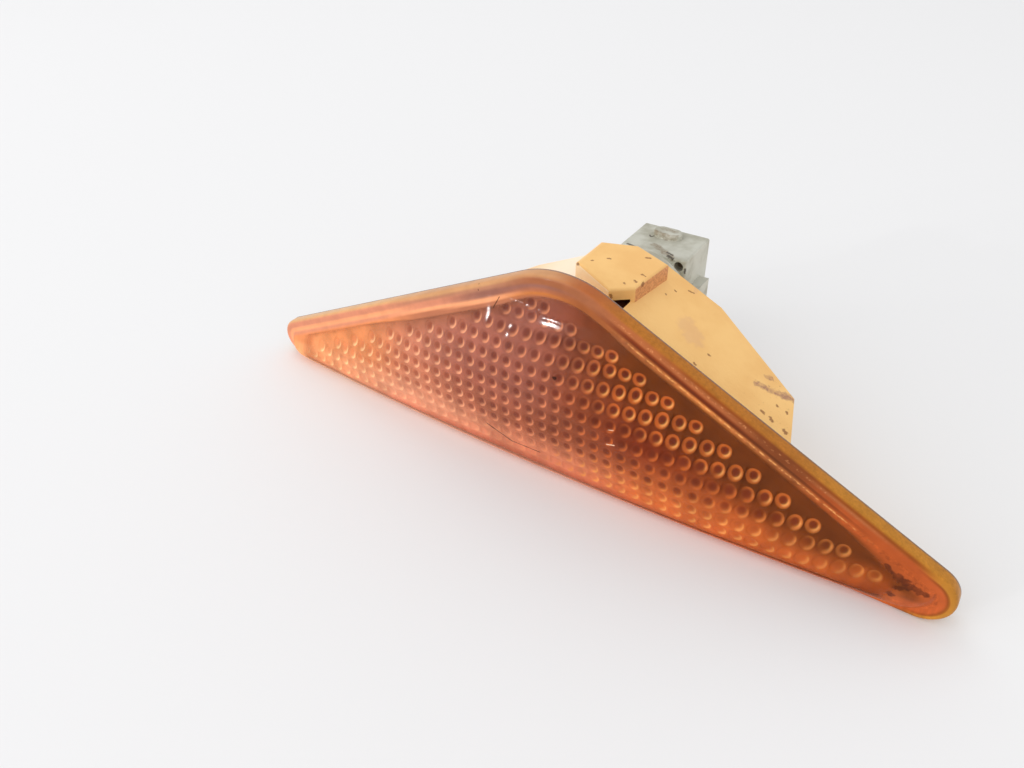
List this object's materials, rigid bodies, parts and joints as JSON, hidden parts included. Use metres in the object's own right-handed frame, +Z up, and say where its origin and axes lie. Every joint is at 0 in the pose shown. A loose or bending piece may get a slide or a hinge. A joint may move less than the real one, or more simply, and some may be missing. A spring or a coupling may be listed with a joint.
{
  "type": "side repeater lamp",
  "caption": "Triangular amber side repeater lamp with a domed bumpy lens, a roofed plastic case with a latch tongue, and a twist-in bulb holder with a plug shroud.",
  "frame": {"origin": "on the seat plane behind the lens rim, under the bulb axis, at the middle of the seat strip along the bottom edge", "axes": "+X along the lens to the right as seen from the front, +Y back through the panel to the plug, +Z up from the bottom edge to the peak"},
  "size_m": [0.1283, 0.0499, 0.0362],
  "materials": {
    "amber_lens": "smooth clear amber moulding, slightly scratched",
    "case_plastic": "satin apricot moulding with dirt specks",
    "holder_plastic": "satin grey moulding with dirt specks",
    "seal_rubber": "soft black rubber",
    "contact_brass": "plain stamped strip",
    "bulb_glass": "clear",
    "wire_steel": "drawn wire"
  },
  "bodies": {
    "root": {"lens": "amber_lens", "housing": "case_plastic", "bulb_holder": "holder_plastic", "holder_seal": "seal_rubber", "terminal_left": "contact_brass", "terminal_right": "contact_brass", "bulb_glass": "bulb_glass", "lead_wire_left": "wire_steel", "lead_wire_right": "wire_steel", "filament": "wire_steel"}
  },
  "joints": []
}
